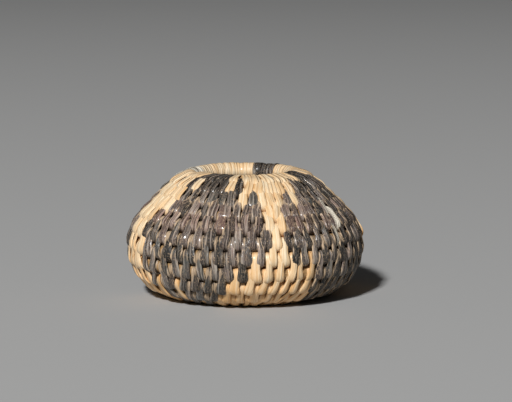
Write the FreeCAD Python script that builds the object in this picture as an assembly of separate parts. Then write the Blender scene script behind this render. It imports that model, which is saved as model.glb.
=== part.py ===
"""A miniature coiled basket: one round foundation rod wound in a spiral from the middle of the
base to the rim, and sewn to itself with flat root strands in two colours. Millimetres, +Z up.
The origin is on the surface that the basket stands on, under the middle of the base."""

import FreeCAD
import Part

import math
import os

# Outline of the basket, taken over the sewing strands
belly_radius = 12.1        # widest radius
foot_radius = 4.7          # bend where the flat base turns up into the wall
belly_bend_radius = 5.3    # bend round the belly
shoulder_length = 3.2      # straight slope between the belly and the rim
rim_bend_radius = 8.8      # bend that lays the last rounds over towards the mouth
mouth_rod_radius = 4.55    # from the axis to the middle of the rod where it ends at the rim
sole_lift = 0.015          # how far the middle of the base stands clear of the ground

# Directions in which the wall runs, in degrees above flat outwards
foot_angle = 55.0          # where the foot bend gives way to the belly bend
shoulder_angle = 134.6     # slope of the shoulder, leaning inwards

# Foundation rod
rod_turns = 15.492         # rounds from the start of the rod to its tip
rod_gap = 0.42             # between two rounds of the rod, where the strands pass
rod_start_radius = 1.72    # from the axis to the middle of the rod where it starts
rim_end_azimuth = -68.0    # where the rod ends, in degrees from the front, to the right
rod_sides = 8
base_stations = 18         # straight runs in one round of the base
wall_stations = 15         # straight runs in one round of the wall
rim_stations = 24          # straight runs in one round of the rim
rim_settle = 0.3           # how much less the last round climbs, which brings the rim level
taper_turns = 0.8          # length over which the end of the rod tapers, in rounds
taper_share = 0.4          # share of its thickness left at the tip of the rod

# Where one length of rod ends and the next is joined on, as shares of the rounds
splice_shares = (0.232, 0.426, 0.633, 0.859)
rod_names = ("base_rod", "foot_rod", "belly_rod", "shoulder_rod", "rim_rod")

# Sewing strands
strand_thickness = 0.16
strand_clearance = 0.02    # between a strand and what it lies on
strand_lift = 0.24         # how far a strand's lower end stands out beyond its upper end
strand_overhang = 0.52     # how far a strand reaches past the crest of the lower rod it covers
strand_bevel = 0.24        # length of the bevel at the lower end
strand_tuck = 0.66         # how far the upper end reaches down beside its own rod
crest_reach = 0.2          # from the middle of a rod to where a strand bends over its crest
crest_rise = 0.165         # how far the fold of a strand that wraps stands above its rod
inner_crest_reach = 0.30   # the same as crest_reach, inside the wall
strand_width_share = 0.94  # share of the stitch spacing that the lower end of a strand covers
tucked_width_share = 0.42  # width of the tucked end, as a share of the full width
crest_width_share = 0.78   # width where the strand bends over the crest
lower_width_share = 0.55   # width of the lower tip

# Stitches in one round, at chosen shares of the way from the start of the rod to its end
stitch_share_counts = (
    (0.0, 9.0), (0.08, 17.0), (0.17, 27.0), (0.26, 37.0), (0.36, 47.28),
    (0.45, 55.05), (0.74, 50.97), (0.84, 51.72), (0.93, 48.5), (1.0, 47.5),
)

# Right of the front the stitches of the wall sit closer together than elsewhere
crowded_azimuth = 28.7
crowded_spread = 20.4
crowded_share = 0.265
crowded_from = 0.4         # share of the way along the rod from which they do so fully

# Rounds at the two ends whose strands show on the inside too
base_wrap_turns = 1.3
rim_wrap_turns = 1.0

# How far a stitch leans, as a share of its spacing, at chosen shares of the way along the rod
slant_shares = ((0.0, 0.0), (0.25, 0.15), (1.0, 0.15))

# Start of the basket: a flat button of coiled strand inside the first round of rod
knot_radius = 0.82
knot_bevel = 0.2
knot_seat = 0.05           # between the knot's edge and the tips of the first stitches
knot_sides = 12

# Dark patches, each a table of left and right edges in degrees from the front, rim row first
leaf_azimuths = (
    ((-44.0, -14.0),),
    ((-36.5, -13.5), (-51.0, -45.0), (-5.0, 1.0)),
    ((-48.0, -5.5), (2.0, 8.0)),
    ((-51.5, 11.0),),
    ((-60.5, 10.5),),
    ((-63.5, 13.0),),
    ((-58.5, 10.0),),
    ((-60.5, 1.0),),
    ((-54.5, -7.0),),
    ((-35.0, -12.5), (-49.5, -42.0)),
    ((-46.0, -17.0),),
)
bell_azimuths = (
    ((55.0, 78.0),),
    ((39.0, 81.0),),
    ((38.0, 84.0), (26.0, 32.0)),
    ((23.0, 88.0),),
    ((23.0, 90.0),),
    ((19.0, 88.0),),
    ((21.5, 88.0),),
    ((35.5, 86.0),),
    ((33.5, 84.0),),
    ((37.0, 82.0),),
    ((38.0, 77.0),),
)
patch_azimuths = (leaf_azimuths, bell_azimuths)
repeat_azimuths = ((0.0, 182.0), (0.0, 190.0))   # each patch comes again on the other side

layer_step = strand_thickness + strand_clearance
fit_steps = 24             # steps in finding the thickness of the rod
axis_line = FreeCAD.Vector(0, 0, 1)


def course_line(thickness):
    """The line through the middles of the rounds of a rod so thick, cut by a half plane through
    the axis: a list of (length so far, length, radius, height, direction, bend radius) pieces.
    It runs inside the outline by half a rod and the strands that lie over it."""
    wall_reach = thickness / 2 + layer_step + strand_lift
    foot = math.radians(foot_angle)
    slope = math.radians(shoulder_angle)
    base_length = (
        belly_radius
        - foot_radius * math.sin(foot)
        - belly_bend_radius * (1 - math.sin(foot))
    )
    pieces = []
    at = [0.0, 0.0, wall_reach + sole_lift, 0.0]

    def add(length, bend):
        pieces.append((at[0], length, at[1], at[2], at[3], bend))
        at[0:4] = (at[0] + length, *along(pieces[-1], length))

    add(base_length, None)
    add((foot_radius - wall_reach) * foot, foot_radius - wall_reach)
    add((belly_bend_radius - wall_reach) * (slope - foot), belly_bend_radius - wall_reach)
    add(shoulder_length, None)
    rim_bend = rim_bend_radius - wall_reach
    last_sine = math.sin(slope) - (at[1] - mouth_rod_radius) / rim_bend
    add(rim_bend * (math.pi - math.asin(last_sine) - slope), rim_bend)
    return pieces


def along(piece, distance):
    """Radius, height and direction at a distance along one piece of the course line."""
    _, _, radius, height, direction, bend = piece
    if bend is None:
        return (
            radius + distance * math.cos(direction),
            height + distance * math.sin(direction),
            direction,
        )
    turned = direction + distance / bend
    return (
        radius + bend * (math.sin(turned) - math.sin(direction)),
        height + bend * (math.cos(direction) - math.cos(turned)),
        turned,
    )


def fitted_thickness():
    """Thickness of the rod whose rounds, each with its gap, just fill the line. The line moves
    out a little as the rod gets thinner, so the two are found in turn until they agree."""
    thickness = 0.0
    for _ in range(fit_steps):
        last = course_line(thickness)[-1]
        filled = last[0] + last[1] + rim_settle - rod_start_radius
        thickness = filled / rod_turns - rod_gap
    return thickness


rod_thickness = fitted_thickness()     # across its corners
course_pitch = rod_thickness + rod_gap
strand_reach = rod_thickness / 2 + strand_clearance     # from its middle to its own strand
line_pieces = course_line(rod_thickness)


def wall_point(turn):
    """Radius, height and direction of the course line after so many rounds of the rod."""
    settled = max(0.0, turn - (rod_turns - 1)) ** 2 * rim_settle
    distance = rod_start_radius + turn * course_pitch - settled
    piece = line_pieces[0]
    for candidate in line_pieces:
        if distance >= candidate[0]:
            piece = candidate
    return along(piece, distance - piece[0])


def thickness_share(turn):
    """Share of its full thickness that the rod has after so many rounds: it tapers at its end."""
    left = (rod_turns - turn) / taper_turns
    return taper_share + (1 - taper_share) * min(1.0, left)


def azimuth_at(turn):
    """Degrees from the front, to the right, after so many rounds from the start of the rod."""
    return rim_end_azimuth + 360.0 * (rod_turns - turn)


def local_frame(turn):
    """Middle of the rod after so many rounds, with its side, wall and outward directions."""
    radius, height, direction = wall_point(turn)
    azimuth = math.radians(azimuth_at(turn))
    radial = FreeCAD.Vector(math.sin(azimuth), -math.cos(azimuth), 0)
    side = FreeCAD.Vector(math.cos(azimuth), math.sin(azimuth), 0)
    middle = radial * radius + axis_line * height
    up_wall = radial * math.cos(direction) + axis_line * math.sin(direction)
    outward = radial * math.sin(direction) - axis_line * math.cos(direction)
    return middle, side, up_wall, outward


def rod_section(turn):
    """One cross-section of the rod: a wire with its flats facing out of the wall."""
    middle, _, up_wall, outward = local_frame(turn)
    corner = thickness_share(turn) * rod_thickness / 2
    points = []
    for i in range(rod_sides):
        angle = 2 * math.pi * (i + 0.5) / rod_sides
        points.append(middle + outward * corner * math.cos(angle) + up_wall * corner * math.sin(angle))
    return Part.makePolygon(points + points[:1])


def rod_length(first_turn, last_turn, stations_per_turn):
    """One length of the rod, from one splice to the next; the last one tapers at its tip."""
    count = round((last_turn - first_turn) * stations_per_turn)
    step = (last_turn - first_turn) / count
    sections = [rod_section(first_turn + step * i) for i in range(count + 1)]
    return Part.makeLoft(sections, True, True)


def least_gap():
    """Least distance between the skins of two rounds of the rod, measured on points."""
    steps = 24
    turns = [rod_turns * i / int(rod_turns * steps) for i in range(int(rod_turns * steps) + 1)]
    middles = [local_frame(turn)[0] for turn in turns]
    skins = [thickness_share(turn) * rod_thickness / 2 for turn in turns]
    return min(
        middles[i].distanceToPoint(middles[j]) - skins[i] - skins[j]
        for i in range(len(turns))
        for j in range(i + steps // 2, min(len(turns), i + 2 * steps))
    )


def blend(table, share):
    """Value at a share, straight between the rows of a table of (share, value)."""
    for (low, before), (high, after) in zip(table, table[1:]):
        if share <= high:
            return before + (after - before) * (share - low) / (high - low)
    return table[-1][1]


def crowding(turn):
    """How much closer than on average the stitches sit there: a hump over the crowded part, less
    its own mean, so that a round keeps its number of stitches."""
    off_middle = math.remainder(azimuth_at(turn) - crowded_azimuth, 360.0) / crowded_spread
    mean = crowded_spread * math.sqrt(math.pi) / 360.0
    grown = min(1.0, turn / rod_turns / crowded_from)
    return 1 + crowded_share * grown * (math.exp(-off_middle ** 2) - mean)


def stitch_turns():
    """Where each stitch sits along the rod, in rounds, with the stitches in one round there."""
    places = []
    turn = 0.5 / stitch_share_counts[0][1]
    while turn < rod_turns:
        count = blend(stitch_share_counts, turn / rod_turns) * crowding(turn)
        places.append((turn, count))
        turn += 1 / count
    return places


def is_dark(turn):
    """Whether a stitch is sewn with the dark strand: four stepped patches round the wall."""
    row = int(rod_turns - turn)
    azimuth = azimuth_at(turn)
    for edges, repeats in zip(patch_azimuths, repeat_azimuths):
        for repeat in repeats:
            for left, right in edges[row] if row < len(edges) else ():
                middle = repeat + (left + right) / 2
                off_middle = math.remainder(azimuth - middle, 360.0)
                if abs(off_middle) <= (right - left) / 2:
                    return True
    return False


def facet(*points):
    return Part.Face(Part.makePolygon(list(points) + [points[0]]))


def band_profile(span, slope, shrink, wraps):
    """The side view of one stitch as (down, out, width share) points, from the upper rod's
    middle. The outer leg comes first and the face against the rods last. Where it wraps, a
    second leg goes down inside the wall as well. Over a tapered rod it lies closer by shrink."""
    first = -crest_reach
    last = span + strand_overhang - strand_bevel
    tip = span + strand_overhang
    inner = strand_reach - shrink
    outer = inner + strand_thickness
    low_inner = inner + slope * (last - first)
    low_outer = low_inner + strand_thickness
    tip_inner = inner + slope * (tip - first)
    outer_leg = [
        (tip, tip_inner, lower_width_share),
        (last, low_outer, 1.0),
        (first, outer, crest_width_share),
    ]
    facing_leg = [
        (first, inner, crest_width_share),
        (last, low_inner, 1.0),
    ]
    if not wraps:
        tuck_out = inner - (strand_tuck - crest_reach)
        return outer_leg + [(-strand_tuck, tuck_out, tucked_width_share)] + facing_leg
    over = [
        (-outer - crest_rise, 0.0, tucked_width_share),
        (-inner_crest_reach, -outer, crest_width_share),
        (last, -low_outer, 1.0),
        (last, -low_inner, 1.0),
        (-inner_crest_reach, -inner, crest_width_share),
        (-inner - crest_rise, 0.0, tucked_width_share),
    ]
    return outer_leg + over + facing_leg


def cap_corners(count):
    """How the side of a band is cut into triangles: each step pairs the two legs' corners."""
    cuts = [(0, 1, count - 1)]
    near, far = 1, count - 1
    while far - near > 2:
        cuts += [(near, near + 1, far - 1), (near, far - 1, far)]
        near, far = near + 1, far - 1
    if far - near == 2:
        cuts.append((near, near + 1, far))
    return cuts


def stitch(turn, count):
    """One stitch: a flat band that bends over its own rod, runs down over the round below and
    ends in a bevelled tip. Bands overlap downwards like tiles."""
    upper, side, _, wall_out = local_frame(turn)
    lower_radius, lower_height, _ = wall_point(turn - 1)
    lower_radius = max(lower_radius, knot_radius + knot_seat + strand_overhang)
    azimuth = math.radians(azimuth_at(turn))
    radial = FreeCAD.Vector(math.sin(azimuth), -math.cos(azimuth), 0)
    lower = radial * lower_radius + axis_line * lower_height
    span = (upper - lower).Length
    rise = (upper - lower) / span
    outward = rise.cross(side)
    if outward.dot(wall_out) < 0:
        outward = outward * -1
    slant_share = blend(slant_shares, turn / rod_turns)
    wraps = turn < base_wrap_turns or turn > rod_turns - rim_wrap_turns

    def corner(down, out, width_share, hand):
        """A corner so far down from the upper rod and so far out, on the left or right hand."""
        middle = upper - rise * down + outward * out
        spacing = 2 * math.pi * middle.dot(radial) / count
        shift = spacing * slant_share * (0.5 - down / span)
        half = spacing * strand_width_share * width_share / 2
        return middle + side * (shift + hand * half)

    shrink = (1 - thickness_share(turn)) * rod_thickness / 2
    slope = (layer_step + shrink) / (span if turn > 1 else course_pitch)
    profile = band_profile(span, slope, shrink, wraps)
    west = [corner(*point, -1) for point in profile]
    east = [corner(*point, 1) for point in profile]
    faces = [facet(west[i], west[i - 1], east[i - 1], east[i]) for i in range(len(profile))]
    for edge in (west, east):
        faces += [facet(edge[a], edge[b], edge[c]) for a, b, c in cap_corners(len(profile))]
    band = Part.Solid(Part.Shell(faces))
    if band.Volume < 0:
        band.reverse()
    if band.BoundBox.ZMin < 0:
        ground = Part.makeBox(2 * belly_radius, 2 * belly_radius, belly_radius)
        ground.translate(FreeCAD.Vector(-belly_radius, -belly_radius, -belly_radius))
        band = band.cut(ground)
    return band


def start_knot():
    """The knot that the first round is sewn to: a bevelled button with a flat foot."""
    top = local_frame(0.0)[0].z + strand_reach
    levels = (
        (0.0, knot_radius - knot_bevel),
        (knot_bevel, knot_radius),
        (top - knot_bevel, knot_radius),
        (top, knot_radius - knot_bevel),
    )
    rings = []
    for height, radius in levels:
        ring = []
        for i in range(knot_sides + 1):
            angle = 2 * math.pi * i / knot_sides
            ring.append(FreeCAD.Vector(radius * math.cos(angle), radius * math.sin(angle), height))
        rings.append(Part.makePolygon(ring))
    return Part.makeLoft(rings, True, True)


def export(shape, name):
    shape.exportStep(os.path.join("parts", name + ".step"))


def main():
    os.makedirs("parts", exist_ok=True)
    ends = [rod_turns * share for share in (0.0,) + splice_shares + (1.0,)]
    stations = (base_stations, wall_stations, wall_stations, wall_stations, rim_stations)
    for name, first, last, in_turn in zip(rod_names, ends, ends[1:], stations):
        rod = rod_length(first, last, in_turn)
        print(name, "valid", rod.isValid(), "volume", round(rod.Volume, 3))
        export(rod, name)
    export(start_knot(), "start_knot")
    courses = {}
    for turn, count in stitch_turns():
        colour = "dark" if is_dark(turn) else "light"
        courses.setdefault((colour, int(turn) + 1), []).append(stitch(turn, count))
    for (colour, course), bands in sorted(courses.items()):
        name = f"{colour}_stitches_{course:02d}"
        export(Part.makeCompound(bands), name)
        print(name, len(bands), "valid", all(b.isValid() for b in bands))
    print("rod", round(rod_thickness, 3), "mm thick, rounds", round(course_pitch, 3), "mm apart")
    print("least gap of the rod to itself", round(least_gap(), 3), "mm")
    print("rounds of rod", round(rod_turns, 2), "stitches", sum(len(b) for b in courses.values()))


main()
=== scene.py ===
# %% [markdown]
# # A miniature coiled basket
# The basket is one long peeled shoot, wound in a spiral from the middle of the base to the rim,
# and sewn round after round with flat strands of split root. Each strand goes over its own round
# of the shoot and over the round below, and back inside the wall. Light and dark strands make the
# pattern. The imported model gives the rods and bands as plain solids. Here each becomes what it is
# on the real basket: round wood, and drop-shaped stitches with fibres, worn edges and uneven dye.

import math

import bpy
import numpy as np
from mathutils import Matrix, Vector


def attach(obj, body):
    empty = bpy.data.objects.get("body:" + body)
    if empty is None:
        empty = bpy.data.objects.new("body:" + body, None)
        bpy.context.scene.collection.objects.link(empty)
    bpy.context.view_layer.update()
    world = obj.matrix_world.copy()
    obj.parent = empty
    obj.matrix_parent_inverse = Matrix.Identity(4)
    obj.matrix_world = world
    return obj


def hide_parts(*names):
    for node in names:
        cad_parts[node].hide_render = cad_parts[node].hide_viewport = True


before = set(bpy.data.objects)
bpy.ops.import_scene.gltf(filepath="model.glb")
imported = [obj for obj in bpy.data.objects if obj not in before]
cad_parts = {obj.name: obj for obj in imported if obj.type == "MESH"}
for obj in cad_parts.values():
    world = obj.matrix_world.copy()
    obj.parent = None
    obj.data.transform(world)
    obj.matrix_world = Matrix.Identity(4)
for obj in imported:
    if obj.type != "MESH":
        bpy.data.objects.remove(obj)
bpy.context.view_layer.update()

# %% [markdown]
# ## The line of the wall
# Cut the basket in half and the middles of the rod's rounds lie on one line: flat base, foot bend,
# belly bend, straight shoulder, rim bend. It could be drawn by hand as a spline, but a chain of
# straights and tangent arcs is what the model is built on, so the same chain is repeated here,
# and every piece then lies where its solid lies. Lengths are in millimetres until a mesh is made.

# %% Sizes of the wall
MM = 0.001
belly_radius = 12.1
foot_radius = 4.7
belly_bend_radius = 5.3
shoulder_length = 3.2
rim_bend_radius = 8.8
mouth_rod_radius = 4.55
sole_lift = 0.015
foot_direction = math.radians(55.0)
shoulder_direction = math.radians(134.6)
rod_turns = 15.492
rod_gap = 0.42
rod_start_radius = 1.72
rim_end_azimuth = -68.0
rim_settle = 0.3
taper_turns = 0.8
taper_share = 0.4
strand_thickness = 0.16
strand_clearance = 0.02
strand_lift = 0.24
print("belly", belly_radius * 2, "mm across, rod wound", rod_turns, "times")


# %% The chain of straights and arcs
def wall_pieces(rod_thickness):
    """Rows of (start, length, radius, height, direction, curvature): straights have no curvature,
    arcs turn by their length times their curvature, and each piece starts where the last ends."""
    reach = rod_thickness / 2 + strand_clearance + strand_thickness + strand_lift
    foot_sine = math.sin(foot_direction)
    base = belly_radius - foot_radius * foot_sine - belly_bend_radius * (1 - foot_sine)
    rows = []
    place = [0.0, 0.0, reach + sole_lift, 0.0]

    def add(length, bend):
        start, radius, height, direction = place
        rows.append((start, length, radius, height, direction, 1 / bend if bend else 0.0))
        turned = direction + (length / bend if bend else 0.0)
        if bend:
            radius += bend * (math.sin(turned) - math.sin(direction))
            height += bend * (math.cos(direction) - math.cos(turned))
        else:
            radius += length * math.cos(direction)
            height += length * math.sin(direction)
        place[:] = [start + length, radius, height, turned]

    add(base, None)
    add((foot_radius - reach) * foot_direction, foot_radius - reach)
    belly_bend = belly_bend_radius - reach
    add(belly_bend * (shoulder_direction - foot_direction), belly_bend)
    add(shoulder_length, None)
    rim_bend = rim_bend_radius - reach
    last_sine = math.sin(shoulder_direction) - (place[1] - mouth_rod_radius) / rim_bend
    add(rim_bend * (math.pi - math.asin(last_sine) - shoulder_direction), rim_bend)
    return np.array(rows)


fit_steps = 24
rod_thickness = 1.0
for _ in range(fit_steps):
    line = wall_pieces(rod_thickness)
    filled = line[-1, 0] + line[-1, 1] + rim_settle - rod_start_radius
    rod_thickness = filled / rod_turns - rod_gap
course_pitch = rod_thickness + rod_gap
print("rod", round(rod_thickness, 3), "mm thick, rounds", round(course_pitch, 3), "mm apart")


# %% Places along the wall
def wall_at(distance):
    """Radius, height and direction at distances along the line. On an arc the radius grows by the
    change of the sine over the curvature, and the height falls by the change of the cosine."""
    distance = np.asarray(distance, float)
    piece = np.clip(np.searchsorted(line[:, 0], distance, side="right") - 1, 0, len(line) - 1)
    start, _, radius, height, direction, curvature = line[piece].T
    run = distance - start
    turned = direction + run * curvature
    bent = curvature > 0
    safe = np.where(bent, curvature, 1.0)
    out = np.where(bent, (np.sin(turned) - np.sin(direction)) / safe, run * np.cos(direction))
    rise = np.where(bent, (np.cos(direction) - np.cos(turned)) / safe, run * np.sin(direction))
    return radius + out, height + rise, turned


def distance_at(turn):
    """Distance along the line after so many rounds: one pitch a round, less as the last settles."""
    settled = np.maximum(0.0, turn - (rod_turns - 1)) ** 2 * rim_settle
    return rod_start_radius + turn * course_pitch - settled


print("line", round(line[-1, 0] + line[-1, 1], 2), "mm long")


# %% Places round the wall
def azimuth_at(turn):
    """Degrees from the front, to the right, after so many rounds."""
    return rim_end_azimuth + 360.0 * (rod_turns - np.asarray(turn, float))


def off_azimuth(turn, middle):
    """Degrees from an azimuth to the one after so many rounds, from -180 to 180."""
    return (azimuth_at(turn) - middle + 180.0) % 360.0 - 180.0


def rod_radius_at(turn):
    """Half the thickness of the rod, which tapers over its last part of a round."""
    left = np.clip((rod_turns - np.asarray(turn, float)) / taper_turns, 0.0, 1.0)
    return (taper_share + (1 - taper_share) * left) * rod_thickness / 2


def wall_frame(distance, azimuth):
    """Middle, side, up and out vectors at a distance along the line and an azimuth: side is
    level, up runs along the wall towards the rim, and out is square to both."""
    radius, height, direction = wall_at(distance)
    angle = np.radians(azimuth)
    nought = np.zeros_like(angle)
    radial = np.stack([np.sin(angle), -np.cos(angle), nought], -1)
    side = np.stack([np.cos(angle), np.sin(angle), nought], -1)
    upright = np.array([0.0, 0.0, 1.0])
    middle = radial * radius[..., None] + upright * height[..., None]
    up = radial * np.cos(direction)[..., None] + upright * np.sin(direction)[..., None]
    out = radial * np.sin(direction)[..., None] - upright * np.cos(direction)[..., None]
    return middle, side, up, out


print("coil starts", round(float(azimuth_at(0.0)) % 360.0, 1), "degrees right of the front")

# %% [markdown]
# ## Where the stitches sit
# The maker sews from the middle outwards, and sets each stitch down between two necks of the round
# below, so the stitches lie like bricks. They could be spaced evenly, but on the real basket the
# number in a round grows over the base and shrinks towards the rim. So each has its place along
# the spiral, and its foot is drawn to the nearest gap in the round below.

# %% How many stitches in a round
count_shares = np.array([0.0, 0.08, 0.17, 0.26, 0.36, 0.45, 0.74, 0.84, 0.93, 1.0])
counts_there = np.array([9.0, 17.0, 27.0, 37.0, 47.28, 55.05, 50.97, 51.72, 48.5, 47.5])
crowded_azimuth = 28.7
crowded_spread = 20.4
crowded_share = 0.265
crowded_from = 0.4


def count_at(turn):
    """Stitches in one round there: straight between the chosen places along the rod, times a
    hump, less its own mean, over the part of the wall where they sit closer together."""
    off_middle = off_azimuth(turn, crowded_azimuth) / crowded_spread
    mean = crowded_spread * math.sqrt(math.pi) / 360.0
    grown = np.minimum(1.0, turn / rod_turns / crowded_from)
    closer = 1 + crowded_share * grown * (np.exp(-off_middle ** 2) - mean)
    return np.interp(turn / rod_turns, count_shares, counts_there) * closer


neck_turns = [0.5 / counts_there[0]]
while neck_turns[-1] + 1 / count_at(neck_turns[-1]) < rod_turns:
    neck_turns.append(neck_turns[-1] + 1 / count_at(neck_turns[-1]))
neck_turns = np.array(neck_turns)
stitch_total = len(neck_turns)
print("stitches", stitch_total, "in", round(rod_turns, 2), "rounds")

# %% Places of the feet
lean_shares = np.array([0.0, 0.25, 1.0])
leans_there = np.array([0.0, 0.15, 0.15])
lean_spread = 0.03
bricks_from, bricks_run = 4.0, 1.5
gap_pull, gap_pull_edge = 0.8, 0.07
foot_least, foot_most = 0.82, 1.3
sewing_seed = 1338
chance = np.random.default_rng(sewing_seed)


def foot_places(necks):
    """Turn of each foot: one round back, leaning by a share of the spacing, and drawn most of
    the way to the middle of the gap between the two necks it falls between."""
    index = np.arange(len(necks))
    lean = np.interp(necks / rod_turns, lean_shares, leans_there)
    lean = lean + chance.normal(0.0, lean_spread, len(necks))
    first_count = counts_there[0]
    before = np.interp(necks - 1, necks, index)
    before = before + np.minimum(0.0, necks - 1 - necks[0]) * first_count
    wanted = before + lean
    off_gap = np.floor(wanted) + 0.5 - wanted
    certain = np.clip((0.5 - np.abs(off_gap)) / gap_pull_edge, 0.0, 1.0)
    drawn = gap_pull * np.clip((necks - bricks_from) / bricks_run, 0.0, 1.0) * certain
    settled = wanted + drawn * off_gap
    share = np.clip(np.gradient(settled), foot_least, foot_most)
    return np.interp(settled, index, necks) + np.minimum(0.0, settled) / first_count, share


foot_turns, foot_shares = foot_places(neck_turns)
print("feet", round(float((neck_turns - foot_turns).mean()), 2), "rounds back on average")

# %% Places of the necks
neck_nudge = 0.2
swung_azimuth, swung_spread = 26.0, 20.0
swung_share, swung_below, swung_run = 0.5, 0.62, 0.15
room_least, room_most = 0.8, 2.0


def neck_places(necks, feet):
    """The turn each neck is nudged to, a fifth of the way to the middle of the room between the
    feet on either side of it, and that room as a share of the spacing. Low on the right the
    necks swing further to the right, so the stitches there lean."""
    after = np.clip(np.searchsorted(feet, necks), 1, len(feet) - 1)
    left, right = feet[after - 1], feet[after]
    bricks = necks > bricks_from
    inside = (necks > left) & (necks < right) & bricks
    room = np.where(inside, (right - left) * count_at(necks), 1.0)
    middle = np.where(inside, (left + right) / 2, necks)
    off_middle = off_azimuth(necks, swung_azimuth) / swung_spread
    low = np.clip((swung_below - necks / rod_turns) / swung_run, 0.0, 1.0) * bricks
    swung = swung_share * low * np.exp(-off_middle ** 2)
    nudged = necks + neck_nudge * (middle - necks) - swung / count_at(necks)
    return nudged, np.clip(room, room_least, room_most)


sewn_turns, neck_rooms = neck_places(neck_turns, foot_turns)
print("room for a neck", round(float(neck_rooms.mean()), 2), "of the spacing on average")

# %% [markdown]
# ## The pattern
# Four stepped leaves in dark strand stand round the wall. A picture could be laid over the basket,
# but a sewn pattern only changes from one stitch to the next. So each round has a short list of
# the arcs that are dark, and a stitch takes its colour from the arc its middle lies in.

# %% Arcs of the leaves
# One row for each round from the rim down, of (left, right) in degrees right of the front.
leaf_arcs = (
    ((-44.0, -14.0),),
    ((-36.5, -13.5), (-51.0, -45.0), (-5.0, 1.0)),
    ((-48.0, -5.5), (2.0, 8.0)),
    ((-51.5, 11.0),),
    ((-60.5, 10.5),),
    ((-63.5, 13.0),),
    ((-58.5, 10.0),),
    ((-60.5, 1.0),),
    ((-54.5, -7.0),),
    ((-35.0, -12.5), (-49.5, -42.0)),
    ((-46.0, -17.0),),
)
bell_arcs = (
    ((55.0, 78.0),),
    ((39.0, 81.0),),
    ((38.0, 84.0), (26.0, 32.0)),
    ((23.0, 88.0),),
    ((23.0, 90.0),),
    ((19.0, 88.0),),
    ((21.5, 88.0),),
    ((35.5, 86.0),),
    ((33.5, 84.0),),
    ((37.0, 82.0),),
    ((38.0, 77.0),),
)
leaf_repeats = (0.0, 182.0)
bell_repeats = (0.0, 190.0)
print("rounds with dark arcs", len(leaf_arcs))

# %% Which stitches are dark
rim_rows = (rod_turns - neck_turns).astype(int)


def dark_stitches():
    """True for each stitch whose azimuth lies in a dark arc of its round, rounds counted from
    the rim; each leaf comes twice, on opposite sides."""
    dark = np.zeros(stitch_total, bool)
    for arcs, repeats in ((leaf_arcs, leaf_repeats), (bell_arcs, bell_repeats)):
        for row, pairs in enumerate(arcs):
            for left, right in pairs:
                for repeat in repeats:
                    off_middle = off_azimuth(neck_turns, repeat + (left + right) / 2)
                    dark |= (rim_rows == row) & (np.abs(off_middle) <= (right - left) / 2)
    return dark


is_dark = dark_stitches()
print("dark stitches", int(is_dark.sum()))

# %% [markdown]
# ## The stitches
# A stitch is a closed loop of flat root round two rounds of the rod. Outside it is a long drop: a
# narrow neck squeezed between the feet of the round above, a full foot, and a rounded end that
# dives into the groove, which leaves the small black hole under each foot. It could be a curve
# with a bevel, but a bevel keeps one width. So a six-sided lens is carried along a belt-shaped
# path with its own width and thickness at each of 14 stations, and a subdivision rounds it.

# %% Stations of the loop
# Each row: share of the way from the upper rod to the lower, degrees round the rod from outwards
# up, width as a share of the room for one stitch, thickness and lift off the rod in mm, and how
# much hands have rubbed it there.
stations = np.array([
    (0.00, 180.0, 0.50, 0.14, 0.00, -0.6),
    (0.00, 128.0, 0.48, 0.14, 0.00, -0.6),
    (0.00, 80.0, 0.58, 0.18, 0.00, 0.5),
    (0.00, 48.0, 0.73, 0.21, 0.02, 1.4),
    (0.03, 12.0, 0.74, 0.22, 0.02, 1.4),
    (0.34, 2.0, 0.60, 0.23, 0.02, 0.4),
    (0.62, 0.0, 0.62, 0.26, 0.04, 0.0),
    (0.84, -3.0, 0.79, 0.29, 0.06, 0.1),
    (1.00, -18.0, 0.88, 0.30, 0.07, 0.2),
    (1.00, -50.0, 0.82, 0.29, 0.08, 0.1),
    (1.00, -82.0, 0.60, 0.22, 0.03, 0.0),
    (1.00, -132.0, 0.44, 0.14, 0.00, -0.6),
    (1.00, -180.0, 0.46, 0.14, 0.00, -0.6),
    (0.50, -180.0, 0.46, 0.14, 0.00, -0.6),
])
lens_across = np.array([-1.0, -0.72, 0.72, 1.0, 0.66, -0.66])
lens_out = np.array([-0.35, 0.92, 0.92, -0.35, -1.0, -1.0])
print("stations", len(stations), "of", len(lens_across), "corners")

# %% The path of a stitch
inside_from = 120.0
rod_fullness = 1.24
rim_fold, rim_rise = 0.32, 12.0
close_from, close_run = 0.56, 0.25
thinner_share, thickness_spread = 0.3, 0.10
sway = 0.08
button_rod_radius = 0.12
first_foot_distance = 1.15


def rim_share(turn):
    """One along the rim's round and zero before it, with a short ramp between."""
    return np.clip((turn - (rod_turns - 1)) * rim_rise, 0.0, 1.0)


at_rim = rim_share(neck_turns)[:, None]
closed_up = np.clip((neck_turns / rod_turns - close_from) / close_run, 0.0, 1.0)[:, None]
inside_wall = np.abs(stations[:, 1]) > inside_from
own_ways = chance.normal(0.0, 1.0, (stitch_total, 4))


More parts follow.
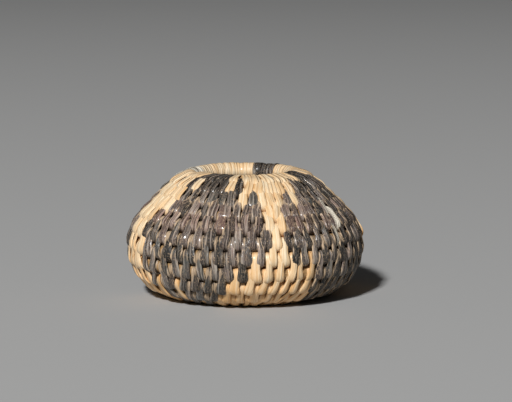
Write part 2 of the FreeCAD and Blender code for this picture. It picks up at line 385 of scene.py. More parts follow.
def stitch_path():
    """Middles of all stitches (stitch, station, xyz), with the level side vector, the direction
    away from the rod and the thickness there. A station lies at a mix of the two rods' middles,
    plus the rod's radius, the lift and half the thickness in its own direction round the rod.
    Towards the rim the strands are thinner, and inside the rim they lie further off the rod."""
    share, turned, _, thickness, lift, _ = stations.T
    upper = wall_frame(distance_at(sewn_turns), azimuth_at(sewn_turns))
    low_distance = np.maximum(distance_at(foot_turns), first_foot_distance)
    lower = wall_frame(low_distance, azimuth_at(foot_turns))
    mix = share[None, :, None]
    middle, side, up, out = (
        a[:, None] * (1 - mix) + b[:, None] * mix for a, b in zip(upper, lower)
    )
    side, up, out = (v / np.linalg.norm(v, axis=-1, keepdims=True) for v in (side, up, out))
    angle = np.radians(turned)[None, :, None]
    away = out * np.cos(angle) + up * np.sin(angle)
    low_rod = rod_radius_at(np.maximum(foot_turns, 0.0))
    low_rod = np.where(foot_turns < 0, button_rod_radius, low_rod)
    rod = rod_radius_at(neck_turns)[:, None] * (1 - share) + low_rod[:, None] * share
    thick = thickness[None, :] * (1 + thickness_spread * own_ways[:, :1])
    thick = thick * (1 - thinner_share * closed_up)
    reach = rod * rod_fullness + thick / 2 + lift[None, :] + rim_fold * at_rim * inside_wall
    bow = sway * own_ways[:, 3:] * np.sin(math.pi * share[None, :]) * (np.cos(angle[..., 0]) > 0)
    centre = middle + away * reach[..., None] + side * bow[..., None]
    return centre, side, away, thick


stitch_middle, stitch_side, stitch_away, stitch_thick = stitch_path()
print("strands", round(float(stitch_thick.mean()), 2), "mm thick on average")

# %% The width of a stitch
foot_fullness = 1.0
light_extra, light_wider = 0.06, 0.08
close_share = 0.82
room_share = 0.35
rim_neck_share = 1.2
width_spread = 0.10
first_foot_turn = 0.3


def stitch_widths():
    """Width in mm (stitch, station): the room for one stitch on its circle, a mix of the rooms in
    the upper and the lower round, times the fullness. The necks grow fuller as the strands close
    up towards the rim, and where the feet beside them leave more room."""
    share, _, fullness, _, _, _ = stations.T
    circle = np.linalg.norm(stitch_middle[..., :2], axis=-1) * 2 * math.pi
    upper_step = circle / count_at(neck_turns)[:, None]
    lower_count = count_at(np.maximum(foot_turns, first_foot_turn))[:, None]
    lower_step = circle / lower_count * foot_shares[:, None]
    step = upper_step * (1 - share) + lower_step * share
    light = ~is_dark[:, None]
    short_of_full = np.maximum(0.0, foot_fullness + light_extra * light - fullness[None, :])
    fuller = fullness[None, :] + close_share * closed_up * short_of_full
    fuller = fuller * (1 + room_share * (neck_rooms[:, None] - 1) * (1 - share[None, :]))
    folded = np.where(inside_wall, 1.0, np.sqrt(1 - share))
    fuller = np.maximum(fuller, rim_neck_share * at_rim * folded)
    return step * fuller * (1 + width_spread * own_ways[:, 1:2] + light_wider * light)


stitch_width = stitch_widths()
print("widest stitch", round(float(stitch_width.max()), 2), "mm")

# %% Points of the stitches
sole_wear = 0.005
roll_spread = 11.0


def stitch_points():
    """All stitches as one array (stitch, station, lens corner, xyz). The lens is laid across the
    path along the level side vector, and rolled a few degrees about the strand, each one its own
    way. What would lie below the sole is worn flat."""
    roll = np.radians(roll_spread * own_ways[:, 2:3, None]) * stations[None, :, 2, None]
    flat = lens_across * stitch_width[..., None] / 2
    high = lens_out * stitch_thick[..., None] / 2
    rolled_flat = flat * np.cos(roll) - high * np.sin(roll)
    rolled_high = flat * np.sin(roll) + high * np.cos(roll)
    points = stitch_middle[:, :, None] + stitch_side[:, :, None] * rolled_flat[..., None]
    points = points + stitch_away[:, :, None] * rolled_high[..., None]
    points[..., 2] = np.maximum(points[..., 2], sole_wear)
    return points


stitch_xyz = stitch_points()
print("stitch array", stitch_xyz.shape)

# %% [markdown]
# ## What each stitch carries for its finish
# A finish that knows only where a point is can't follow a strand round the wall. So every point
# of a stitch carries its place along and across its strand, how deep in the wall it lies, which
# sets the painted shade in the grooves and under the strands, and how rubbed and how old it is
# there. An image could hold this, but values on the points need no unwrapping.

# %% Coordinates that the finish follows
own_range = 40.0
rod_groove_shade, rod_groove_shade_outside = 0.34, 0.16
strand_back_shade, back_below = 0.25, -0.5
rub_least, rub_most = 0.25, 1.1
rim_rub = -0.4
rub_rounds = np.array([0.0, 1.6, 3.2, 8.0])
rub_there = np.array([0.3, 0.35, 1.15, 0.95])


def strand_coordinates():
    """For each corner: (across in mm, length along the strand in mm, a number of its own), then
    across as a share of half the width, then how much painted shade it gets: the squared sine of
    the angle round the rod, more on the outside of the wall, plus a step at the strand's back, and
    none over the open rim; and last how much rubbing it has had: by station, by chance, and by
    the round it is in."""
    runs = np.linalg.norm(np.diff(stitch_middle, axis=1), axis=-1)
    lengths = np.concatenate([np.zeros((stitch_total, 1)), np.cumsum(runs, axis=1)], axis=1)
    across = lens_across * stitch_width[..., None] / 2
    own = chance.uniform(0.0, own_range, (stitch_total, 1, 1)) + np.zeros_like(across)
    vector = np.stack([across, lengths[..., None] + np.zeros_like(across), own], -1)
    share = lens_across + np.zeros_like(across)
    angle = np.radians(stations[:, 1])[:, None]
    # Painted shade: how far the colour darkens in the grooves between rounds of rod, inside the
    # wall and on the strand's back.
    shade_depth = np.sin(angle) ** 2 * (rod_groove_shade + rod_groove_shade_outside * np.sign(np.cos(angle)))
    shade_depth = shade_depth + strand_back_shade * (lens_out < back_below)
    over_top = (1 - stations[None, :, 0, None]) * (lens_out > back_below)
    open_top = 1 - at_rim[:, None] * over_top
    handled = np.interp(rod_turns - neck_turns, rub_rounds, rub_there)[:, None, None]
    own_rub = chance.uniform(rub_least, rub_most, (stitch_total, 1, 1))
    rub = stations[None, :, 5, None] * own_rub * handled
    rub = np.where(open_top < 1.0, np.minimum(rub, rim_rub), rub)
    return vector, share, shade_depth[None] * open_top, rub + np.zeros_like(across)


strand_vectors, strand_across, painted_shade_depths, strand_rubs = strand_coordinates()
print("longest strand", round(float(strand_vectors[..., 1].max()), 2), "mm")

# %% Tones and hues
red_share, red_spread = 0.74, 0.07
warm_shade_from, warm_shade_run = 0.62, 0.25
shaded_azimuth, shaded_spread = 70.0, 36.0
shaded_below, shaded_run = 0.88, 0.25
painted_shade_extra, deep_less = 0.72, 0.12
hue_share, hue_least, hue_most = 0.75, -0.15, 0.3


def strand_moods():
    """Two numbers for each stitch, 0 to 1. Tone: how dark its colour is, by chance, and darker for
    the dark ones low on the right, as painted shade. Hue: how warm it is, by chance and by its
    course;
    the dark ones are reddest above the belly, and the light ones turn a warmer orange towards the
    foot, as painted warm shade."""
    tones = chance.uniform(0.0, 1.0, stitch_total)
    share = neck_turns / rod_turns
    off_middle = off_azimuth(neck_turns, shaded_azimuth) / shaded_spread
    low = np.clip((shaded_below - share) / shaded_run, 0.0, 1.0)
    # Painted shade: the dark strands low on the right get a darker tone.
    deeper = painted_shade_extra * low * np.exp(-off_middle ** 2) - deep_less
    tones = np.clip(tones + deeper * is_dark, 0.0, 1.0)
    red = np.exp(-((share - red_share) / red_spread) ** 2)
    # Painted warm shade: the light strands turn amber towards the foot.
    warm_shade = np.clip((warm_shade_from - share) / warm_shade_run, 0.0, 1.0)
    hues = np.where(is_dark, red, warm_shade) * hue_share
    hues = hues + chance.uniform(hue_least, hue_most, stitch_total)
    return tones, np.clip(hues, 0.0, 1.0)


strand_tones, strand_hues = strand_moods()
print("mean tone and hue", [round(float(v.mean()), 2) for v in (strand_tones, strand_hues)])

# %% Strands with a painted highlight, and split strands
# Each place: the round from the rim, degrees right of the front, and reach in degrees.
painted_highlight_places = ((3, 57.0, 3.0), (4, 57.0, 3.0), (5, 52.0, 3.0), (0, -102.0, 16.0))
split_rounds, split_rise, split_reach = 2.2, 0.8, 0.6


def painted_highlight_strands():
    """One for the few strands that carry a painted highlight, a pale streak, on the right and at
    the left end of the rim, found by their round from the rim and their azimuth; zero for others."""
    shines = np.zeros(stitch_total)
    for row, degrees, reach in painted_highlight_places:
        shines[(rim_rows == row) & (np.abs(off_azimuth(neck_turns, degrees)) < reach)] = 1.0
    return shines


def strand_splits():
    """How far each corner's strand has split down its middle, as old strands do at the rim: by
    its rounds from the rim, times the cosine of the angle round the rod plus a reach."""
    by_round = np.clip((neck_turns - (rod_turns - split_rounds)) * split_rise, 0.0, 1.0)
    by_angle = np.clip(np.cos(np.radians(stations[:, 1])) + split_reach, 0.0, 1.0)
    return by_round[:, None] * np.repeat(by_angle, len(lens_across))[None, :]


painted_highlights = painted_highlight_strands()
strand_split = strand_splits()
is_split = strand_split.max(axis=1) > 0
print("glossy strands", int(painted_highlights.sum()), "split", int(is_split.sum()))


# %% Meshes from arrays
def make_piece(name, points, faces, attributes):
    """A mesh object at the origin from an array of points in millimetres and a list of faces,
    with smooth shading and one named value or vector per point."""
    mesh = bpy.data.meshes.new(name)
    mesh.from_pydata((points.reshape(-1, 3) * MM).tolist(), [], faces)
    for key, values in attributes.items():
        kind, field = ("FLOAT_VECTOR", "vector") if values.ndim > 1 else ("FLOAT", "value")
        layer = mesh.attributes.new(key, kind, "POINT")
        layer.data.foreach_set(field, values.astype(np.float32).ravel())
    mesh.polygons.foreach_set("use_smooth", np.ones(len(mesh.polygons), bool))
    mesh.validate()
    mesh.update()
    piece = bpy.data.objects.new(name, mesh)
    bpy.context.scene.collection.objects.link(piece)
    return piece


def ring_faces(loops, around, rings):
    """Four-cornered faces of so many closed rings of so many loops: each joins a corner to the
    next round the lens and the next along the strand, and the last loop joins the first."""
    index = np.arange(rings * loops * around).reshape(rings, loops, around)
    beside = np.roll(index, -1, axis=2)
    along = np.roll(index, -1, axis=1)
    across = np.roll(along, -1, axis=2)
    return np.stack([index, along, across, beside], -1).reshape(-1, 4).tolist()


# %% Sew each course
course_of = neck_turns.astype(int) + 1
strand_pieces = []
for dark, colour in ((False, "light"), (True, "dark")):
    for course in range(1, course_of.max() + 1):
        chosen = (course_of == course) & (is_dark == dark)
        if not chosen.any():
            continue
        node = f"{colour}_stitches_{course:02d}"
        total = int(chosen.sum())
        corners = stations.shape[0] * len(lens_across)
        piece = make_piece(
            f"{colour}_sewing_{course:02d}",
            stitch_xyz[chosen],
            ring_faces(stations.shape[0], len(lens_across), total),
            {
                "strand": strand_vectors[chosen].reshape(-1, 3),
                "across": strand_across[chosen].reshape(-1),
                "shade_depth": painted_shade_depths[chosen].reshape(-1),
                "rub": strand_rubs[chosen].reshape(-1),
                "painted_highlight": np.repeat(painted_highlights[chosen], corners),
                "split": strand_split[chosen].reshape(-1),
                "tone": np.repeat(strand_tones[chosen], corners),
                "hue": np.repeat(strand_hues[chosen], corners),
            },
        )
        round_off = piece.modifiers.new("Round off", "SUBSURF")
        round_off.levels = 1
        round_off.render_levels = 1
        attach(piece, "root")
        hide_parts(node)
        strand_pieces.append((piece, dark))
print("courses of stitches", len(strand_pieces))

# %% [markdown]
# ## The rod
# The foundation is a thin peeled shoot, and it shows only in the gaps between stitches and where it
# runs out at the rim. It could be a curve with a round bevel. A ring of points carried along the
# spiral does the same in one array, tapers at the tip, and cuts cleanly where one length is spliced
# to the next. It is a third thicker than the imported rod, so that its rounds nearly touch.

# %% Wind the rod
splice_shares = (0.0, 0.232, 0.426, 0.633, 0.859, 1.0)
rod_names = ("base_rod", "foot_rod", "belly_rod", "shoulder_rod", "rim_rod")
rod_around = 14
rod_stations = 44
rod_swell = 0.05
foot_swell, foot_swell_below = 0.045, 7.6
rim_sink = 0.12


def rod_piece(name, first, last):
    """One length of rod: rings of points round the spiral, each at the rod's radius times the
    cosine out and the sine up, with a flat face closing each end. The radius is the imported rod's
    times its fullness, plus a swell, with more at the foot, and less on top of the last round,
    which sinks away from the strands folded over it."""
    total = int(round((last - first) * rod_stations)) + 1
    turns = np.linspace(first, last, total)
    middle, side, up, out = wall_frame(distance_at(turns), azimuth_at(turns))
    angle = np.linspace(0.0, 2 * math.pi, rod_around, endpoint=False)[None, :, None]
    sunk = rim_sink * rim_share(turns)[:, None, None] * (1 + np.sin(angle)) / 2
    fuller = foot_swell * np.clip(foot_swell_below - turns, 0.0, 1.0)[:, None, None]
    radius = rod_radius_at(turns)[:, None, None] * rod_fullness + rod_swell + fuller - sunk
    points = middle[:, None] + radius * (out[:, None] * np.cos(angle) + up[:, None] * np.sin(angle))
    index = np.arange(total * rod_around).reshape(total, rod_around)
    after = np.roll(index, -1, axis=1)
    quads = np.stack([index[:-1], after[:-1], after[1:], index[1:]], -1).reshape(-1, 4)
    faces = quads.tolist() + [index[0][::-1].tolist(), index[-1].tolist()]
    length = (turns * 2 * math.pi * np.linalg.norm(middle[:, :2], axis=-1))[:, None]
    vector = np.stack([
        np.broadcast_to(radius[..., 0] * angle[..., 0], index.shape),
        np.broadcast_to(length, index.shape),
        np.zeros(index.shape),
    ], -1)
    return make_piece(name, points, faces, {"strand": vector.reshape(-1, 3)})


rod_pieces = []
for name, first, last in zip(rod_names, splice_shares, splice_shares[1:]):
    piece = rod_piece("wound_" + name, rod_turns * first, rod_turns * last)
    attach(piece, "root")
    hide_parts(name)
    rod_pieces.append(piece)
rod_made = rod_thickness * rod_fullness + 2 * rod_swell
print("lengths of rod", len(rod_pieces), "made", round(rod_made, 2), "mm thick")

# %% [markdown]
# ## The start of the coil
# In the middle of the base the first strands are wrapped over a tiny ring, like a covered button.
# A cylinder would do for the size, but not for the eye, so this is a flattened ball whose skin
# swells and sinks with each wrap of the strand.

# %% The covered button
knot_radius = 0.86
knot_wraps = 13
wrap_points = 8
knot_rings = 13
wrap_hollow, wrap_twist = 0.14, 1.3
wrap_power, flat_power, rise_power = 0.7, 0.55, 0.7
rise_hollow = 0.06
knot_top_share, knot_sole = 0.98, 0.01
knot_strand_scale = 0.3
# The button gets one fixed amount of painted shade all over.
knot_values = {"across": 0.3, "shade_depth": 0.4, "rub": 0.2, "tone": 0.5, "hue": 0.6}


def start_button():
    """A flattened ball: radius falls off as the sine of the polar angle to a low power, and the
    skin swells by a share of the absolute sine of half the wraps round it."""
    _, height, _ = wall_at(0.0)
    top = float(height) + rod_thickness / 2 + strand_clearance
    around = np.linspace(0.0, 2 * math.pi, knot_wraps * wrap_points, endpoint=False)[None, :]
    polar = np.linspace(0.0, math.pi, knot_rings + 2)[1:-1, None]
    wrap = np.abs(np.sin(knot_wraps * around / 2 + wrap_twist * np.cos(polar)))
    swell = 1 - wrap_hollow + wrap_hollow * wrap ** wrap_power
    flat = np.sin(polar) ** flat_power
    rise = np.sign(np.cos(polar)) * np.abs(np.cos(polar)) ** rise_power
    x = knot_radius * flat * swell * np.cos(around)
    y = knot_radius * flat * swell * np.sin(around)
    z = top / 2 + top / 2 * rise * (1 - rise_hollow + rise_hollow * swell)
    points = np.stack([x, y, z], -1).reshape(-1, 3)
    ends = np.array([[0.0, 0.0, top * knot_top_share], [0.0, 0.0, knot_sole]])
    index = np.arange(len(points)).reshape(x.shape)
    after = np.roll(index, -1, axis=1)
    quads = np.stack([index[:-1], index[1:], after[1:], after[:-1]], -1).reshape(-1, 4).tolist()
    first, last = len(points), len(points) + 1
    caps = [[first, a, b] for a, b in zip(index[0].tolist(), after[0].tolist())]
    caps += [[last, b, a] for a, b in zip(index[-1].tolist(), after[-1].tolist())]
    vector = np.stack([
        np.broadcast_to(around * knot_strand_scale, x.shape),
        np.broadcast_to(polar, x.shape),
        np.zeros_like(x),
    ], -1).reshape(-1, 3)
    vector = np.concatenate([vector, np.zeros_like(ends)])
    values = {key: np.full(len(vector), value) for key, value in knot_values.items()}
    piece_points = np.concatenate([points, ends])
    return make_piece("start_button", piece_points, quads + caps, {"strand": vector, **values})


button = start_button()
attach(button, "root")
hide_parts("start_knot")
print("button", round(knot_radius * 2, 2), "mm across")

# %% [markdown]
# ## Shared effects
# Split root has long fibres, the edges of the dark strands are rubbed pale, the edges of the light
# strands are darkened by painted shade, and no two strands take the dye alike. Each effect is one
# node group, built once and given its own numbers in each finish. The groups read the strand's own
# coordinates, which run across and along every stitch, so the fibres follow each stitch round the
# basket.


# %% A helper for node groups
def new_group(name, inputs, outputs):
    """An empty shader node group with named sockets; returns it with its two end nodes."""
    group = bpy.data.node_groups.new(name, "ShaderNodeTree")
    for label, kind, value in inputs:
        socket = group.interface.new_socket(label, in_out="INPUT", socket_type=kind)
        if value is not None:
            socket.default_value = value
    for label, kind in outputs:
        group.interface.new_socket(label, in_out="OUTPUT", socket_type=kind)
    return group, group.nodes.new("NodeGroupInput"), group.nodes.new("NodeGroupOutput")


def put(tree, socket, value):
    """A plain number goes onto a socket, and a socket is linked to it."""
    if isinstance(value, (int, float)):
        socket.default_value = value
    else:
        tree.links.new(value, socket)


# %% Helpers for single nodes
def math_node(tree, operation, *values):
    """One arithmetic step on sockets or plain numbers, up to three of them."""
    node = tree.nodes.new("ShaderNodeMath")
    node.operation = operation
    for socket, value in zip(node.inputs, values):
        put(tree, socket, value)
    return node.outputs[0]


def noise_node(tree, vector, scale_across, scale_along, detail, roughness):
    """Noise on strand coordinates, stretched along the strand."""
    stretch = tree.nodes.new("ShaderNodeVectorMath")
    stretch.operation = "MULTIPLY"
    tree.links.new(vector, stretch.inputs[0])
    stretch.inputs[1].default_value = (scale_across, scale_along, 1.0)
    noise = tree.nodes.new("ShaderNodeTexNoise")
    noise.inputs["Scale"].default_value = 1.0
    noise.inputs["Detail"].default_value = detail
    noise.inputs["Roughness"].default_value = roughness
    tree.links.new(stretch.outputs[0], noise.inputs["Vector"])
    return noise.outputs[0]


def ramp_node(tree, value, low, high):
    """Zero below low and one above high, with a smooth step between."""
    node = tree.nodes.new("ShaderNodeMapRange")
    node.interpolation_type = "SMOOTHSTEP"
    tree.links.new(value, node.inputs["Value"])
    node.inputs["From Min"].default_value = low
    node.inputs["From Max"].default_value = high
    return node.outputs["Result"]


def mix_node(tree, share, first, second):
    """Mix of two colours by a share, each colour a socket or a plain (r, g, b)."""
    node = tree.nodes.new("ShaderNodeMix")
    node.data_type = "RGBA"
    tree.links.new(share, node.inputs[0])
    for socket, value in zip(node.inputs[6:8], (first, second)):
        if isinstance(value, tuple):
            socket.default_value = (*value, 1.0)
        else:
            tree.links.new(value, socket)
    return node.outputs[2]


# %% Fibres
# Each row: noise cells in a millimetre across and along the strand, detail, roughness, and the
# two levels between which the noise rises from nothing to one.
fibre_rows = {
    "Streak": (8.0, 0.5, 3.0, 0.6, 0.34, 0.66),
    "Ridge": (3.8, 0.16, 1.0, 0.5, 0.42, 0.58),
    "Cloud": (1.4, 0.9, 2.0, 0.5, 0.35, 0.65),
    "Fleck": (9.0, 5.0, 2.0, 0.5, 0.52, 0.68),
}


def fibre_group():
    """Streak: fine fibres, a tenth of a millimetre wide and ten times as long. Ridge: the two or
    three broad ribs of a split root. Cloud: slow changes along the strand. Fleck: grains a tenth
    of a millimetre across, where dye has come off. All from stretched noise, 0 to 1."""
    group, source, sink = new_group(
        "fibres",
        [("Strand", "NodeSocketVector", None)],
        [(label, "NodeSocketFloat") for label in fibre_rows],
    )
    for label, (across, along, detail, roughness, low, high) in fibre_rows.items():
        noise = noise_node(group, source.outputs["Strand"], across, along, detail, roughness)
        group.links.new(ramp_node(group, noise, low, high), sink.inputs[label])
    return group


fibres = fibre_group()
print("fibre outputs", list(fibre_rows))

# %% Worn edges, and painted shade along edges
ragged = 0.5
edge_low, edge_high = 1.0, 1.35


def edge_group():
    """One along the strand's edges, where the dye comes off the dark strands and the light strands
    get
    painted shade: how far across the point lies, plus a share of the streak about its middle, plus
    the amount, cut at a level."""
    group, source, sink = new_group(
        "worn_and_shaded_edges",
        [
            ("Across", "NodeSocketFloat", 0.0),
            ("Streak", "NodeSocketFloat", 0.5),
            ("Amount", "NodeSocketFloat", 0.5),
        ],
        [("Mask", "NodeSocketFloat")],
    )
    edge = math_node(group, "ABSOLUTE", source.outputs["Across"])
    raised = math_node(group, "MULTIPLY_ADD", source.outputs["Streak"], ragged, -ragged / 2)
    total = math_node(group, "ADD", edge, raised)
    shifted = math_node(group, "ADD", total, source.outputs["Amount"])
    group.links.new(ramp_node(group, shifted, edge_low, edge_high), sink.inputs["Mask"])
    return group


worn_and_shaded_edges = edge_group()
print("worn edges from", edge_low, "to", edge_high)

# %% [markdown]
# ## The finish of a strand
# Split root has no paint on it: its colour is its own or a dye that went in unevenly. Flat colour
# with bump would look moulded, so the colour itself is built up in layers: a hue and its age,
# painted shade in the grooves and a painted sheen on the crests, then what hands rubbed off, with
# painted shade along the edges of the light strands, then painted shade deep in the wall. All
# three materials are made by one function, and differ only in their colours and shares.


# %% Using groups and attributes
def use_group(tree, group, **links):
    """A node that uses a group, with plain numbers or sockets put into its inputs."""
    node = tree.nodes.new("ShaderNodeGroup")
    node.node_tree = group
    for label, value in links.items():
        put(tree, node.inputs[label], value)
    return node


def read_attribute(tree, name, output="Fac"):
    """One of the values that each point of the strands carries."""
    node = tree.nodes.new("ShaderNodeAttribute")
    node.attribute_name = name
    return node.outputs[output]


# %% Hue, age, painted shade in grooves and painted sheen on crests
cloud_warms = 0.3
aged_from, rim_split_darkening = 0.5, 0.8
groove_shade_least = 0.5


def grown_colour(tree, grain, colours, shares):
    """The strand's hue picks between cool and warm. Its age, the painted shade in the grooves
    between its ribs, and the painted sheen on the crests of the fibres on younger strands each pull
    the colour their way by a share."""
    streak, ridge, cloud = (grain.outputs[label] for label in ("Streak", "Ridge", "Cloud"))
    tone = read_attribute(tree, "tone")
    hue = math_node(tree, "MULTIPLY_ADD", cloud, cloud_warms, read_attribute(tree, "hue"))
    colour = mix_node(tree, hue, colours["cool"], colours["warm"])

    # Painted dark reflection: the split darkens the rim strands and dims their crests.
    rim_split_dark = math_node(tree, "MULTIPLY", read_attribute(tree, "split"), rim_split_darkening)
    older = math_node(tree, "MAXIMUM", ramp_node(tree, tone, aged_from, 1.0), rim_split_dark)
    aged = math_node(tree, "MULTIPLY", older, shares["age"])
    colour = mix_node(tree, aged, colour, colours["aged_and_groove_shade"])

    # Painted shade: the grooves between the ribs are darkened.
    low = math_node(tree, "SUBTRACT", 1.0, ridge)
    deeper = math_node(tree, "MULTIPLY_ADD", tone, 1 - groove_shade_least, groove_shade_least)
    low = math_node(tree, "MULTIPLY", low, deeper)
    groove_shade_share = math_node(tree, "MULTIPLY", low, shares["aged_and_groove_shade"])
    colour = mix_node(tree, groove_shade_share, colour, colours["aged_and_groove_shade"])

    # Painted sheen: the crests of the ribs are lightened.
    high = math_node(tree, "MULTIPLY", ridge, streak)
    high = math_node(tree, "MULTIPLY", high, math_node(tree, "SUBTRACT", 1.0, aged))
    on_crest = math_node(tree, "MULTIPLY", high, shares["crest"])
    return mix_node(tree, on_crest, colour, colours["crest"])


# %% Wear by hands, and painted shade along edges
tone_wears = 0.2
fleck_least = 0.35
edge_strength = 0.8


def handled_colour(tree, grain, colour, colours, shares):
    """The edge colour along the strand's edges, by the finish's edge amount, the strand's tone and
    the rub at the point, or where a fleck has come off, most where the cloud is strong. On the dark
    strands this is dye come off; on the light strands the edge colour is painted shade."""
    streak, cloud, fleck = (grain.outputs[label] for label in ("Streak", "Cloud", "Fleck"))
    tone, rub, across = (read_attribute(tree, name) for name in ("tone", "rub", "across"))
    edge_amount = math_node(tree, "MULTIPLY_ADD", tone, tone_wears, shares["edge_amount"])
    amount = math_node(tree, "MULTIPLY_ADD", rub, shares["rub"], edge_amount)
    edges = use_group(tree, worn_and_shaded_edges, Across=across, Streak=streak, Amount=amount)
    patchy = math_node(tree, "MULTIPLY_ADD", cloud, 1 - fleck_least, fleck_least)
    off = math_node(tree, "MULTIPLY", math_node(tree, "MULTIPLY", fleck, patchy), shares["fleck"])
    mask = math_node(tree, "MAXIMUM", edges.outputs["Mask"], off)
    # On the light strands this edge colour is painted shade; on the dark strands it is wear.
    edge_share = math_node(tree, "MULTIPLY", mask, edge_strength)
    return mix_node(tree, edge_share, colour, colours["worn_and_edge_shade"])


# %% Painted shade, splits and painted highlights
shade_from, shade_to = 0.12, 0.6
split_inner, split_outer, split_shade_strength = 0.05, 0.3, 0.35
highlight_from, highlight_to = -0.45, -0.15
painted_highlight_colour = (0.82, 0.74, 0.60)


def split_mask(tree):
    """One along the middle of a strand, times how far the strand has split there; painted shade
    goes along this line.
    """
    off_middle = math_node(tree, "ABSOLUTE", read_attribute(tree, "across"))
    beside = ramp_node(tree, off_middle, split_inner, split_outer)
    line = math_node(tree, "SUBTRACT", 1.0, beside)
    return math_node(tree, "MULTIPLY", line, read_attribute(tree, "split"))


def settled_colour(tree, colour, split, colours, shares):
    """Painted shade inside the wall and on the strands' backs, by a share, and painted shade along
    a split; then a painted highlight, a light streak, covers the few glossy strands on all but one
    edge."""
    # Painted shade: the deep colour darkens the strands inside the wall and on their backs.
    dim = ramp_node(tree, read_attribute(tree, "shade_depth"), shade_from, shade_to)
    painted_shade_share = math_node(tree, "MULTIPLY", dim, shares["painted_shade"])
    colour = mix_node(tree, painted_shade_share, colour, colours["painted_shade"])
    # Painted shade along the split line.
    split_shade_share = math_node(tree, "MULTIPLY", split, split_shade_strength)
    colour = mix_node(tree, split_shade_share, colour, colours["painted_shade"])
    # Painted highlight: a pale streak over one side of the glossy strands.
    one_side = ramp_node(tree, read_attribute(tree, "across"), highlight_from, highlight_to)
    pale = math_node(tree, "MULTIPLY", read_attribute(tree, "painted_highlight"), one_side)
    return mix_node(tree, pale, colour, painted_highlight_colour)


# %% A finish for strands
root_ior = 1.42
streak_roughens, tone_roughens = 0.12, 0.28
polish_from, polish_to = 0.1, 0.45
polish_roughness = 0.16
streak_raises, split_sinks = 0.4, 2.5


def strand_finish(name, colours, shares, gloss, rough, bump_height):
    """A material: the strand's colour, a skin that the streaks and old age roughen, a polish on
    the younger strands by the gloss, and ribs and fibres raised by a height in millimetres."""
    material = bpy.data.materials.new(name)
    material.use_nodes = True
    tree = material.node_tree
    skin = tree.nodes["Principled BSDF"]
    skin.inputs["IOR"].default_value = root_ior
    skin.inputs["Coat Roughness"].default_value = polish_roughness
    grain = use_group(tree, fibres, Strand=read_attribute(tree, "strand", "Vector"))
    split = split_mask(tree)
    colour = grown_colour(tree, grain, colours, shares)
    colour = handled_colour(tree, grain, colour, colours, shares)
    colour = settled_colour(tree, colour, split, colours, shares)
    tree.links.new(colour, skin.inputs["Base Color"])

    streak, ridge = grain.outputs["Streak"], grain.outputs["Ridge"]
    tone = read_attribute(tree, "tone")
    roughness = math_node(tree, "MULTIPLY_ADD", tone, tone_roughens, rough)
    roughness = math_node(tree, "MULTIPLY_ADD", streak, streak_roughens, roughness)
    tree.links.new(roughness, skin.inputs["Roughness"])
    if gloss:
        dull = ramp_node(tree, tone, polish_from, polish_to)
        polish = math_node(tree, "MULTIPLY", math_node(tree, "SUBTRACT", 1.0, dull), gloss)
        tree.links.new(polish, skin.inputs["Coat Weight"])

    ribs = math_node(tree, "SUBTRACT", ridge, math_node(tree, "MULTIPLY", split, split_sinks))
    bump = tree.nodes.new("ShaderNodeBump")
    bump.inputs["Strength"].default_value = 1.0
    bump.inputs["Distance"].default_value = bump_height * MM
    height = math_node(tree, "MULTIPLY_ADD", streak, streak_raises, ribs)
    tree.links.new(height, bump.inputs["Height"])
    tree.links.new(bump.outputs["Normal"], skin.inputs["Normal"])
    return material


# %% The three finishes
# In each finish the deep colour is painted shade, the crest colour painted sheen, the groove colour
# both age and painted shade in the grooves, and the worn colour both wear and, on the light
# strands, painted shade along the edges.
light_colours = {
    "cool": (0.86, 0.70, 0.475), "warm": (0.94, 0.56, 0.25), "aged_and_groove_shade": (0.64, 0.40, 0.18),
    "crest": (0.88, 0.77, 0.58), "worn_and_edge_shade": (0.60, 0.33, 0.12), "painted_shade": (0.46, 0.19, 0.04),
}
light_shares = {
    "age": 0.15, "aged_and_groove_shade": 0.5, "crest": 0.5,
    "edge_amount": 0.12, "rub": 0.10, "fleck": 0.2, "painted_shade": 0.85,
}
dark_colours = {
    "cool": (0.130, 0.129, 0.117), "warm": (0.310, 0.188, 0.153), "aged_and_groove_shade": (0.013, 0.013, 0.012),
    "crest": (0.54, 0.475, 0.395), "worn_and_edge_shade": (0.62, 0.45, 0.29), "painted_shade": (0.050, 0.028, 0.014),
}
dark_shares = {
    "age": 0.85, "aged_and_groove_shade": 0.95, "crest": 0.62,
    "edge_amount": -0.03, "rub": 0.95, "fleck": 0.8, "painted_shade": 0.8,
}
shoot_colours = {
    "cool": (0.38, 0.23, 0.10), "warm": (0.33, 0.19, 0.075), "aged_and_groove_shade": (0.18, 0.10, 0.04),
    "crest": (0.46, 0.30, 0.15), "worn_and_edge_shade": (0.28, 0.16, 0.07), "painted_shade": (0.10, 0.05, 0.02),
}
shoot_shares = {
    "age": 0.0, "aged_and_groove_shade": 0.4, "crest": 0.4,
    "edge_amount": 0.0, "rub": 0.0, "fleck": 0.2, "painted_shade": 0.3,
}
light_finish = strand_finish(
    "light_root", light_colours, light_shares, gloss=0.2, rough=0.32, bump_height=0.03)
dark_finish = strand_finish(
    "dark_root", dark_colours, dark_shares, gloss=0.7, rough=0.17, bump_height=0.12)
rod_finish = strand_finish(
    "peeled_shoot", shoot_colours, shoot_shares, gloss=0.0, rough=0.55, bump_height=0.02)
for piece, dark in strand_pieces:
    piece.data.materials.append(dark_finish if dark else light_finish)
for piece in rod_pieces:
    piece.data.materials.append(rod_finish)
button.data.materials.append(light_finish)
print("finishes", [m.name for m in (light_finish, dark_finish, rod_finish)])

# %% [markdown]
# ## Floor, light and camera
# A small object on a plain sheet of card, lit by one square lamp from the front and a little to
# the left, with faint light from all round. Three lamps would show every side alike, but one
# alone gives each stitch its own small shadow. The camera stands low, as the photograph's did.

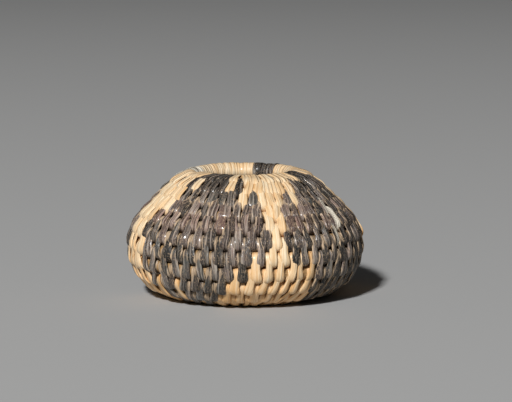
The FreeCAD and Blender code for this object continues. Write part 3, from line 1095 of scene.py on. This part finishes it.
# %% Floor
card_reach = 3.0
card_colour = (0.415, 0.415, 0.411, 1.0)
card_roughness = 0.9
floor_mesh = bpy.data.meshes.new("card")
card_signs = np.array([(-1, -1, 0), (1, -1, 0), (1, 1, 0), (-1, 1, 0)])
floor_mesh.from_pydata((card_signs * card_reach).tolist(), [], [(0, 1, 2, 3)])
floor = bpy.data.objects.new("card", floor_mesh)
bpy.context.scene.collection.objects.link(floor)
card = bpy.data.materials.new("card")
card.use_nodes = True
card_skin = card.node_tree.nodes["Principled BSDF"]
card_skin.inputs["Base Color"].default_value = card_colour
card_skin.inputs["Roughness"].default_value = card_roughness
floor_mesh.materials.append(card)
print("card", 2 * card_reach, "m across")

# %% Light
room_colour = (1.0, 1.0, 1.0, 1.0)
room_strength = 0.04
lamp_aim = np.array([0.0, 0.0, 6.0]) * MM
world = bpy.data.worlds.new("room")
bpy.context.scene.world = world
world.use_nodes = True
room = world.node_tree.nodes["Background"]
room.inputs["Color"].default_value = room_colour
room.inputs["Strength"].default_value = room_strength


def lamp(name, azimuth, elevation, distance, size, watts):
    """A square lamp so many degrees right of the front and above the floor, aimed at the basket."""
    data = bpy.data.lights.new(name, "AREA")
    data.size = size
    data.energy = watts
    item = bpy.data.objects.new(name, data)
    a, e = math.radians(azimuth), math.radians(elevation)
    back = np.array([math.sin(a) * math.cos(e), -math.cos(a) * math.cos(e), math.sin(e)])
    item.location = back * distance + lamp_aim
    item.rotation_mode = "QUATERNION"
    item.rotation_quaternion = Vector(back).to_track_quat("Z", "Y")
    bpy.context.scene.collection.objects.link(item)
    return item


key = lamp("key_lamp", azimuth=-19.0, elevation=37.0, distance=1.6, size=0.16, watts=31.2)
print("lamp", key.name, [round(v, 2) for v in key.location])

# %% Camera
film_width = 36.0
photo_width = 512.0
focal_pixels = 2415.0
camera_place = Vector((0.0, -243.2, 43.1)) * MM
camera_aim = Vector((1.1, 0.0, 9.45)) * MM
clip_near, clip_far = 0.01, 20.0
camera_data = bpy.data.cameras.new("camera")
camera = bpy.data.objects.new("camera", camera_data)
bpy.context.scene.collection.objects.link(camera)
bpy.context.scene.camera = camera
camera_data.sensor_width = film_width
camera_data.lens = film_width * focal_pixels / photo_width
camera_data.clip_start = clip_near
camera_data.clip_end = clip_far
camera.location = camera_place
camera.rotation_mode = "QUATERNION"
camera.rotation_quaternion = (camera_place - camera_aim).to_track_quat("Z", "Y")
bpy.context.scene.view_settings.view_transform = "Standard"
print("camera lens", round(camera_data.lens, 1), "mm")
